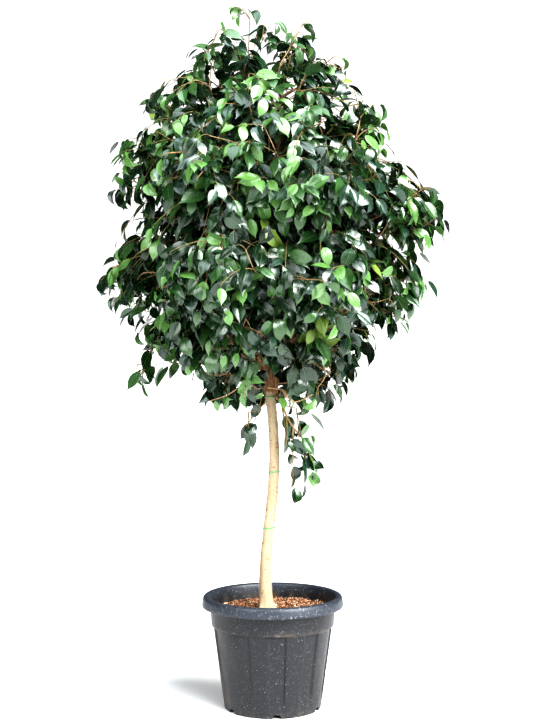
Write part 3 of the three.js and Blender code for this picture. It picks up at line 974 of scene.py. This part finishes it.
class Wood:
    """The crown's limbs: joints with their parents, growing on from the stem and the boughs."""

    def __init__(self):
        # For each joint its place, parent, way from the stem, least radius and mass
        self.places, self.parents, self.ways, self.limbs, self.masses = [], [], [], [], []

    def add(self, place, parent, way, limb, mass=None):
        self.places.append(Vector(place))
        self.parents.append(parent)
        self.ways.append(way)
        self.limbs.append(limb)
        self.masses.append(mass)
        return len(self.places) - 1

    def heading(self, joint):
        """The way that a joint's limb comes to it."""
        parent = self.parents[joint]
        return (self.places[joint] - self.places[parent]).normalized() if parent >= 0 else UP.copy()


def lay_limbs(wood):
    """Joints along the head of the stem and along every bough, from the CAD solids."""
    head = [-1]
    for height in np.linspace(STEM_TOP - 0.022, STEM_TOP, 3):
        x, y, radius = stem_at(height)
        head.append(wood.add((x, y, height), head[-1], 0.0, 0.9 * radius))
    for node in BOUGHS:
        centres, _ = level_cuts(node, 16, 0.004)
        start = Vector(centres[0])
        last = min(head[1:], key=lambda joint: (wood.places[joint] - start).length)
        for i, place in enumerate(centres):
            way = wood.ways[last] + 0.3 * (Vector(place) - wood.places[last]).length
            last = wood.add(place, last, way, 0.0078 - 0.0032 * i / (len(centres) - 1))


def scatter_joints(masses, settings, rng):
    """Places for branch joints through the crown: one in each mass, and the rest a gap apart."""
    found = [(mass.middle.copy(), mass) for mass in masses]
    for mass in masses:
        if mass.tier == "hanging":
            away = Vector((math.copysign(1, mass.middle.x), 0, 0))
            found += [(mass.middle + UP * share * mass.size.z - away * (0.09 * share + 0.01)
                       + unit(rng) * 0.014, mass)
                      for share in np.arange(HANGING_TOP, HANGING_FOOT, -HANGING_STEP / mass.size.z)]
    low = np.min([mass.middle - mass.size / 2 for mass in masses], 0)
    high = np.max([mass.middle + mass.size / 2 for mass in masses], 0)
    while len(found) < settings.joints:
        place = Vector(rng.uniform(low, high))
        mass, outside = nearest_mass(place - UP * 0.02, masses)
        depth = min(0.024, 0.25 * min(mass.size))
        airy = np.interp(place.z, TOP_LIGHT, (1.0, 0.55))
        crowded = 1.0 if mass.tier in RINGS else 0.5
        if outside > -depth or rng.random() > airy * (0.45 + 0.55 * min(1, place.xy.length / 0.2)):
            continue
        if all((place - other).length > settings.gap * crowded for other, _ in found):
            found.append((place, mass))
    return found


def join_up(wood, loose):
    """Joins each loose place to the wood by its cheapest link: short, forwards, and near the stem."""
    spots = np.array([place for place, _ in loose])
    best = np.full(len(loose), np.inf)
    source = np.zeros(len(loose), int)
    taken = np.zeros(len(loose), bool)

    def offer(joint):
        link = spots - np.array(wood.places[joint])
        distance = np.linalg.norm(link, axis=1) + 1e-9
        forwards = link @ np.array(wood.heading(joint)) / distance
        cost = distance * (1.0 + LINK_BEND * (1 - forwards)) + LINK_WAY * wood.ways[joint]
        better = (cost < best) & ~taken
        best[better], source[better] = cost[better], joint

    for joint in range(len(wood.places)):
        offer(joint)
    for _ in loose:
        chosen = int(np.argmin(best))
        place, mass = loose[chosen]
        parent = int(source[chosen])
        way = wood.ways[parent] + (place - wood.places[parent]).length
        taken[chosen] = True
        best[chosen] = np.inf
        offer(wood.add(place, parent, way, 0.0, mass))


def girths(wood):
    """How many joints each joint bears, and its radius: a limb is as thick as all that grows on it."""
    load = np.ones(len(wood.places))
    for joint in range(len(wood.places) - 1, -1, -1):
        if wood.parents[joint] >= 0:
            load[wood.parents[joint]] += load[joint]
    return load, np.maximum(TWIG_GIRTH * load ** GIRTH_POWER, wood.limbs)


def smooth_line(before, joints, steps=5):
    """A curve that comes from the place before it and runs smoothly through joints of (place, radius)."""
    places = [before, *(place for place, _ in joints), joints[-1][0]]
    line = []
    for i, ((start, near), (end, far)) in enumerate(zip(joints, joints[1:])):
        leave, arrive = (end - places[i]) / 6, (places[i + 3] - start) / 6
        curve = interpolate_bezier(start, start + leave, end - arrive, end, steps + 1)
        line += list(zip(curve, np.linspace(near, far, steps + 1)))[bool(line):]
    return line


def branch_lines(wood):
    """The wood as unbroken lines, thick and thin ones: each joint runs on into its heaviest branch."""
    load, girth = girths(wood)
    children = {}
    for joint, parent in enumerate(wood.parents):
        children.setdefault(parent, []).append(joint)
    thick, thin = [], []
    starts = [(root, child) for root in children[-1] for child in children.get(root, [])]
    while starts:
        parent, child = starts.pop()
        link = wood.places[child] - wood.places[parent]
        before = wood.places[parent] - (wood.heading(parent) * 0.5 + link.normalized() * 0.5) * link.length
        joints = [(wood.places[parent], min(girth[parent], 1.3 * girth[child]))]
        while child is not None:
            joints.append((wood.places[child], girth[child]))
            onward = sorted(children.get(child, []),
                            key=lambda joint: (wood.limbs[joint] > 0, load[joint]))
            starts += [(child, side) for side in onward[:-1]]
            child = onward[-1] if onward else None
        (thick if joints[1][1] > THICK else thin).append(smooth_line(before, joints))
    return thick, thin


class Shoot:
    """A leafy shoot: where it starts, which way it sets out, how long it is and how it droops."""

    def __init__(self, start, way, span, droop, mass, girth):
        self.start, self.way, self.span, self.droop = start, way, span, droop
        self.mass, self.girth, self.slack, self.last = mass, girth, 0.0, 0.0
        side = way.cross(UP)
        self.side = side.normalized() if side.length > 0.05 else Vector((1, 0, 0))

    def place(self, t):
        return self.start + self.way * self.span * t - UP * self.droop * self.span * t * t

    def heading(self, t):
        return (self.way - UP * 2 * self.droop * t).normalized()

    def line(self):
        """The shoot's stalk, up to its last leaf."""
        return [(self.place(t), self.girth * (1 - 0.6 * t)) for t in np.linspace(0, self.last, 8)]


def grow_shoots(wood, masses, settings, rng):
    """Leafy shoots at every joint. Each is cut back to the crown's skin, give or take a little."""
    children = set(wood.parents)
    _, girth = girths(wood)
    found = []
    for joint, place in enumerate(wood.places):
        mass = wood.masses[joint]
        if mass is None:
            continue
        ends = joint not in children
        ahead, lit = wood.heading(joint), outwards(place)
        count = 3 if ends else 2 + (rng.random() < 0.5)
        if mass.tier == "hanging":
            count = 1 + (rng.random() < 0.6)
        for i in range(count):
            if i == 0 and ends:
                way = ahead * 0.9 + lit * 0.4 + unit(rng) * 0.35
            else:
                way = ahead * 0.35 + lit * 0.65 + unit(rng) * 0.85
            if mass.tier == "hanging":
                way = lit * 0.3 + unit(rng) * 0.3 - UP * 0.9
            elif mass.tier in ("top", "leader"):
                way += UP * 0.5
            way.normalize()
            droop = rng.uniform(0.2, 0.75)
            span = settings.shoot * rng.uniform(0.45, 1.0)
            stalk = min(SHOOT_GIRTH, girth[joint]) * (1.5 if mass.tier == "hanging" else 1.0)
            shoot = Shoot(place, way, span, droop, mass, stalk)
            slack = min(SKIN_MOST, rng.normal(SKIN_MIDDLE, SKIN_SPREAD))
            shoot.slack = {"hanging": slack + 0.022, "leader": 0.014}.get(mass.tier, slack)
            sag = UP * (0.0 if mass.tier == "leader" else LEAF_SAG)
            while shoot.span > 0.035 and nearest_mass(shoot.place(1) - sag, masses)[1] > shoot.slack:
                shoot.span *= 0.82
            found.append(shoot)
    return found


@functools.cache
def grown_crown():
    """The crown's branches, leafy shoots and leaves, grown once from the seed."""
    settings = bpy.context.scene.fig_crown
    rng = np.random.default_rng(settings.seed)
    masses = [Mass(node) for node in MASSES]
    wood = Wood()
    lay_limbs(wood)
    join_up(wood, scatter_joints(masses, settings, rng))
    shoots = grow_shoots(wood, masses, settings, rng)
    return wood, shoots, deal_leaves(shoots, masses, settings, rng)


def make_boughs(settings):
    """Boughs and branches, twigs, and the leafy shoots' stalks, each kind as one mesh of tubes."""
    wood, shoots, _ = grown_crown()
    thick, thin = branch_lines(wood)
    stalks = [shoot.line() for shoot in shoots if shoot.last > 0]
    kinds = (("boughs", thick, 12, 0.0016, 260.0, rough_bark("bough_bark", settings.bough, 0.6, 160)),
             ("twigs", thin, 6, 0.0004, 300.0, rough_bark("twig_bark", settings.twig, 0.4, 240)),
             ("shoots", stalks, 4, 0.0, 200.0, rough_bark("shoot_skin", settings.shoot, 0.5, 300)))
    return [run_nodes(lines_object(name, lines), tubes_tree(), sides=sides, relief=relief,
                      relief_scale=scale, skin=skin) for name, lines, sides, relief, scale, skin in kinds]


# ---------- leaves ----------
# Half-width of the blade at shares of its length: round at the base, then drawn out to a drip tip
BLADE = ((0.0, 0.14), (0.09, 0.62), (0.25, 0.94), (0.44, 1.0), (0.62, 0.84), (0.77, 0.46), (0.87, 0.15),
         (1.0, 0.03))
ACROSS = (-1.0, -0.52, -0.03, 0.03, 0.52, 1.0)
PETIOLE = 0.013
PETIOLE_GIRTH = 0.00075
LEAF_SIZES = (0.62, 1.08)  # least and greatest size, in shares of a large leaf
PICKS = 600  # a leaf's form is drawn as a number below this, and counted round the forms
# The lit side, high up and to the right, where lighter leaf shades are dealt as painted light.
LIT_SIDE_HEIGHTS = (1.15, 1.62)  # where the sunny side begins and is full, with its lean added to the height
LIT_SIDE_LEAN = 0.8  # how much a place further to the right counts as higher
# What each leaf's point carries besides its place
LEAF_VALUES = (("aim", "FLOAT_VECTOR"), ("size", "FLOAT"), ("form", "INT"), ("shade", "INT"))
YOUNG = 0.13  # share of the shoots whose last leaves are fresh ones
STRAYS = 0.22  # share of the leaves that draw a shade of their own
LEAF_FORMS = (  # fold of the halves, curl along the blade, sideways sweep, roll of the margin
    (0.20, 0.50, 0.05, 0.05),
    (0.10, 0.25, -0.06, -0.04),
    (0.30, 0.80, 0.10, 0.07),
    (0.16, 1.20, -0.14, 0.04),
    (0.06, 0.40, 0.02, -0.07),
    (0.45, 0.35, -0.03, 0.10),
    (0.85, 1.50, 0.16, 0.02),
)


def leaf_form(name, settings, fold, curl, sweep, roll):
    """One leaf, its stalk at the origin, growing along +X with its upper face towards +Z."""
    blade = settings.leaf_length
    points, uvs = [], []
    place, last = Vector((PETIOLE, 0, 0.002)), 0.0
    for along, half in BLADE:
        angle = -0.25 + curl * along + 0.5 * max(0, along - 0.7)
        step = (along - last) * blade
        way = Vector((math.cos(angle), math.sin(sweep * along * 3) * 0.6, -math.sin(angle)))
        place = place + way * step
        last = along
        lift = Vector((math.sin(angle), 0, math.cos(angle)))
        half_width = half * settings.leaf_width / 2
        for share in ACROSS:
            y = share * half_width
            ripple = 0.04 * math.sin(along * 9 + share * 2) * abs(share)
            up = abs(y) * (fold - roll * abs(share) * 4) + ripple * half_width
            points.append(place + Vector((0, y, 0)) + lift * up)
            uvs.append((along, 0.5 + 0.5 * share * half))
    columns, rows = len(ACROSS), len(BLADE)
    faces, rib = [], []
    for row in range(rows - 1):
        for column in range(columns - 1):
            first = row * columns + column
            faces.append((first, first + columns, first + columns + 1, first + 1))
            rib.append(column == columns // 2 - 1)
    base = len(points)
    for k, (x, z) in enumerate(((0, 0), (PETIOLE * 1.05, 0.002))):
        for i in range(3):
            y, up, _ = polar(PETIOLE_GIRTH, i * TURN / 3 + 0.5)
            points.append((x, y, z + up))
            uvs.append((0.01 * k, 0.01 * i))
    stalk = [tuple(base + i for i in face) for face in ring_faces(2, 3)]
    faces += stalk
    rib += [True] * len(stalk)
    form = mesh_object(name, points, faces)
    attribute(form.data, "rib", "BOOLEAN", "FACE", rib)
    layer = form.data.uv_layers.new(name="Leaf")
    layer.uv.foreach_set("vector", np.array([uvs[loop.vertex_index] for loop in form.data.loops]).ravel())
    return form


def leaves_tree():
    """Puts a leaf at each point, picked, turned, sized and coloured by the point's own values."""
    inputs = {"Points": ("Geometry", None), "Forms": ("Collection", None), "Rib": ("Material", None)}
    inputs |= {"Blade " + name: ("Material", None) for name in SHADES}
    tree, given, made = new_group("Leaves on points", "GeometryNodeTree", inputs, {"Leaves": "Geometry"})
    turn, size, form, shade = (stored(tree, *value) for value in LEAF_VALUES)
    leaves = strewn(tree, given["Points"], given["Forms"], form, turn, size)
    leaves = wire(tree, "GeometryNodeRealizeInstances", {0: leaves})[0]
    for i, name in enumerate(SHADES):
        leaves = painted(tree, leaves, compared(tree, shade, "EQUAL", i), given["Blade " + name])
    leaves = painted(tree, leaves, stored(tree, "rib", "BOOLEAN"), given["Rib"])
    tree.links.new(leaves, made["Leaves"])
    return tree


# Pieces that the leaves are joined into, with the masses that each one takes the place of
PARTS = {
    "skirt": [f"skirt_{i}" for i in range(1, 6)],
    "waist_right": ["waist_1", "waist_2", "waist_6"],
    "waist_left": ["waist_3", "waist_4", "waist_5"],
    "shoulder_right": ["shoulder_1", "shoulder_2", "shoulder_6"],
    "shoulder_left": ["shoulder_3", "shoulder_4", "shoulder_5"],
    "crest": [f"crest_{i}" for i in range(1, 5)],
    "top": ["top_1", "top_2", "leader_tuft"],
    "hanging": ["hanging_right", "hanging_left", "hanging_far_left"],
}


def part_of(node):
    """The piece that a mass's leaves go into."""
    return next(part for part, masses in PARTS.items() if node.removeprefix("foliage_") in masses)


def leaf_pose(shoot, t, side, settings, rng):
    """A leaf's place and turn on a shoot: out to its side, hanging, its face to the light."""
    place, ahead = shoot.place(t), shoot.heading(t)
    across = (shoot.side - ahead * shoot.side.dot(ahead)).normalized() * side
    across = Matrix.Rotation(rng.normal(0, 0.45), 3, ahead) @ across
    hang = settings.hang * rng.uniform(0.3, 1.5) * np.interp(place.z, HEIGHTS, (1.0, 0.75))
    axis = (ahead * 0.6 + across * 0.8 - UP * hang + unit(rng) * 0.3).normalized()
    light = outwards(place) * 0.72 + UP * 0.32 + unit(rng) * 0.56
    face = light - axis * light.dot(axis)
    face = face.normalized() if face.length > 0.05 else axis.orthogonal().normalized()
    turn = Matrix((axis, face.cross(axis), face)).transposed()
    return place, axis, turn.to_euler()


def deal_leaves(shoots, masses, settings, rng):
    """Every leaf, by piece: place, turn, size, form and shade. The shades are dealt out by shoot, with
    lighter ones more often on the lit side as painted light.
    """
    names = list(SHADES)
    shares = np.array([SHADES[name][0] for name in names])
    dealt = {part: [] for part in PARTS}
    for shoot in shoots:
        # Painted light: lighter shades on the lit side, darker ones away from it.
        lit_side = np.interp(shoot.start.z + LIT_SIDE_LEAN * shoot.start.x, LIT_SIDE_HEIGHTS, (0, 1))
        odds = shares * (1 + lit_side * (np.array(LIT_SIDE_GAIN) - 1))
        shade = int(rng.choice(len(names), p=odds / odds.sum()))
        count = max(2, round(shoot.span / settings.spacing))
        young = rng.random() < YOUNG
        for i in range(count):
            t = (i + 1) / count
            place, axis, turn = leaf_pose(shoot, t, 1 if i % 2 else -1, settings, rng)
            size = rng.uniform(*LEAF_SIZES) * (1 - 0.25 * t * t) * np.interp(place.z, HEIGHTS, (1.0, 0.8))
            own = shade
            if young and i >= count - 3:
                own, size = names.index("fresh"), size * 0.9
            elif rng.random() < STRAYS:
                own = int(rng.integers(0, len(names) - 1))
            tip = place + axis * (settings.leaf_length + PETIOLE) * size * 0.95
            hides_stem = tip.z < STEM_TOP and tip.y < 0 and abs(tip.x - STEM_LINE) < CLEAR_WIDTH
            if hides_stem or nearest_mass(tip, masses)[1] > shoot.slack + LEAF_ROOM:
                continue
            shoot.last = t
            form = int(rng.integers(0, PICKS))
            dealt[part_of(shoot.mass.node)].append((place, turn, size, form, own))
    return dealt


def baking_map(mesh):
    """A map with one tile for each shade, on which all leaves of that shade lie on each other."""
    leaf = np.zeros(len(mesh.loops) * 2, np.float32)
    mesh.uv_layers["Leaf"].uv.foreach_get("vector", leaf)
    leaf = leaf.reshape(-1, 2)
    shade = np.zeros(len(mesh.vertices), np.int32)
    mesh.attributes["shade"].data.foreach_get("value", shade)
    corner = np.zeros(len(mesh.loops), np.int32)
    mesh.loops.foreach_get("vertex_index", corner)
    up = (shade[corner] + 0.03 + 0.94 * leaf[:, 1]) / len(SHADES)
    tile = np.stack([0.01 + 0.98 * leaf[:, 0], up], 1)
    mesh.uv_layers.new(name="OFBake").uv.foreach_set("vector", tile.astype(np.float32).ravel())
    mesh.uv_layers["Leaf"].active_render = True


def make_leaves(settings):
    """All leaves of each piece as one mesh, from a few patterns of a leaf."""
    forms = forms_collection("leaf_forms", [
        leaf_form(f"leaf_form_{i}", settings, *form) for i, form in enumerate(LEAF_FORMS)])
    blades = {"blade_" + name: leaf_blade(name, tone, rough) for name, (_, tone, rough) in SHADES.items()}
    tree, rib, made = leaves_tree(), leaf_rib(), []
    for part, leaves in grown_crown()[2].items():
        places, *columns = zip(*leaves)
        piece = mesh_object("leaves_" + part, places)
        for (name, kind), values in zip(LEAF_VALUES, columns):
            attribute(piece.data, name, kind, "POINT", values)
        run_nodes(piece, tree, forms=forms, rib=rib, **blades)
        baking_map(piece.data)
        made.append((part, piece))
    drop_forms(forms)
    return made


# ---------- stage ----------
CAMERA_PLACE = (-0.0067, -3.3448, 0.9341)
CAMERA_PITCH = math.radians(-1.283)  # looking slightly down
CAMERA_LENS = 67.67  # millimetres
LIT_PLACE = Vector((0, 0, 0.95))  # what the lamps point at
FLOOR_SIDES, FLOOR_REACH, FLOOR_DROP = 96, 150.0, 0.0005
COOL = (0.86, 0.94, 1.0)  # colour of the top light


def make_stage(settings):
    """The floor, the sky, the lamps and the camera."""
    floor = mesh_object("floor", circle(FLOOR_REACH, FLOOR_SIDES, -FLOOR_DROP), [tuple(range(FLOOR_SIDES))],
                        materials=[floor_paint(settings)], smooth=False)

    world = bpy.data.worlds.new("sky")
    world.use_nodes = True
    tree = world.node_tree
    seen = wire(tree, "ShaderNodeLightPath")["Is Camera Ray"]
    strength = ramp(tree, seen, 0, 1, settings.sky, settings.backdrop)
    sky = tree.nodes["Background"]
    sky.inputs["Color"].default_value = (1, 1, 1, 1)
    tree.links.new(strength, sky.inputs["Strength"])
    bpy.context.scene.world = world
    lamps = (
        ("key", "SUN", (2.1, -2.0, 3.1), {"energy": settings.key, "angle": settings.key_size}),
        ("fill", "AREA", (-2.2, -2.6, 2.6), {"energy": settings.fill, "size": 2.4}),
        ("top", "AREA", (0.1, -0.9, 4.0), {"energy": settings.top, "size": 3.0, "color": COOL}),
    )
    for name, kind, place, values in lamps:
        lamp = bpy.data.lights.new(name, kind)
        for label, value in values.items():
            setattr(lamp, label, value)
        stand = new_object(name, lamp)
        stand.location = place
        stand.rotation_euler = (LIT_PLACE - Vector(place)).to_track_quat("-Z", "Y").to_euler()

    lens = bpy.data.cameras.new("camera")
    lens.lens = CAMERA_LENS
    camera = new_object("camera", lens)
    camera.location = CAMERA_PLACE
    camera.rotation_euler = (math.pi / 2 + CAMERA_PITCH, 0, 0)
    scene = bpy.context.scene
    scene.camera = camera
    scene.view_settings.view_transform = "Standard"
    scene.view_settings.look = "High Contrast"


# ---------- add-on ----------
class FigPot(bpy.types.Operator):
    """Makes the nursery pot, with its rolled rim, collar, flutes and drain slots"""
    bl_idname = "fig.pot"
    bl_label = "Pot"

    def execute(self, context):
        keep(make_pot(context.scene.fig_pot), "pot", "pot")
        return {"FINISHED"}


class FigMix(bpy.types.Operator):
    """Fills the pot with potting mix, and strews bark chips over it"""
    bl_idname = "fig.mix"
    bl_label = "Potting mix"

    def execute(self, context):
        keep(make_mix(), "potting_mix", "potting_mix")
        keep(make_chips(context.scene.fig_mix), "potting_mix")
        return {"FINISHED"}


class FigStem(bpy.types.Operator):
    """Makes the clear stem with the relief of its bark and its spreading roots"""
    bl_idname = "fig.stem"
    bl_label = "Stem"

    def execute(self, context):
        keep(make_stem(context.scene.fig_bark), "stem_bark", "stem")
        return {"FINISHED"}


class FigTies(bpy.types.Operator):
    """Winds the wire ties round the stem"""
    bl_idname = "fig.ties"
    bl_label = "Ties"

    def execute(self, context):
        for piece, node in zip(make_ties(), TIES):
            keep(piece, "tie", node)
        return {"FINISHED"}


class FigBoughs(bpy.types.Operator):
    """Grows the boughs, branches, twigs and leafy shoots"""
    bl_idname = "fig.boughs"
    bl_label = "Boughs and twigs"

    def execute(self, context):
        grown_crown.cache_clear()
        boughs, twigs, shoots = make_boughs(context.scene.fig_bark)
        keep(boughs, "bough_bark", *BOUGHS)
        keep(twigs, "bough_bark")
        keep(shoots, "bough_bark")
        return {"FINISHED"}


class FigLeaves(bpy.types.Operator):
    """Hangs the leaves on their shoots, tier by tier"""
    bl_idname = "fig.leaves"
    bl_label = "Leaves"

    def execute(self, context):
        for part, piece in make_leaves(context.scene.fig_crown):
            keep(piece, "foliage", *("foliage_" + mass for mass in PARTS[part]))
        return {"FINISHED"}


class FigStage(bpy.types.Operator):
    """Sets up the floor, the lights and the camera"""
    bl_idname = "fig.stage"
    bl_label = "Stage"

    def execute(self, context):
        make_stage(context.scene.fig_stage)
        return {"FINISHED"}


class FigPanel(bpy.types.Panel):
    """Lists the plant's pieces and their settings"""
    bl_label = "Weeping fig"
    bl_idname = "FIG_PT_panel"
    bl_space_type = "VIEW_3D"
    bl_region_type = "UI"
    bl_category = "Weeping fig"

    def draw(self, context):
        for name, operators in PIECES.items():
            box = self.layout.box()
            for operator in operators:
                box.operator(operator.bl_idname)
            settings = getattr(context.scene, name)
            for label in settings.__annotations__:
                box.prop(settings, label)


SETTINGS = {"fig_pot": PotSettings, "fig_mix": MixSettings, "fig_bark": BarkSettings,
            "fig_crown": CrownSettings, "fig_stage": StageSettings}
PIECES = {"fig_pot": (FigPot,), "fig_mix": (FigMix,), "fig_bark": (FigStem, FigTies, FigBoughs),
          "fig_crown": (FigLeaves,), "fig_stage": (FigStage,)}
CLASSES = (*SETTINGS.values(), FigPot, FigMix, FigStem, FigTies, FigBoughs, FigLeaves, FigStage, FigPanel)


def register():
    for made in CLASSES:
        bpy.utils.register_class(made)
    for name, group in SETTINGS.items():
        setattr(bpy.types.Scene, name, PointerProperty(type=group))


def unregister():
    for name in SETTINGS:
        delattr(bpy.types.Scene, name)
    for made in reversed(CLASSES):
        bpy.utils.unregister_class(made)


def main():
    register()
    bpy.ops.fig.stage()
    bpy.ops.fig.pot()
    bpy.ops.fig.mix()
    bpy.ops.fig.stem()
    bpy.ops.fig.ties()
    bpy.ops.fig.boughs()
    bpy.ops.fig.leaves()


if __name__ == "__main__":
    main()
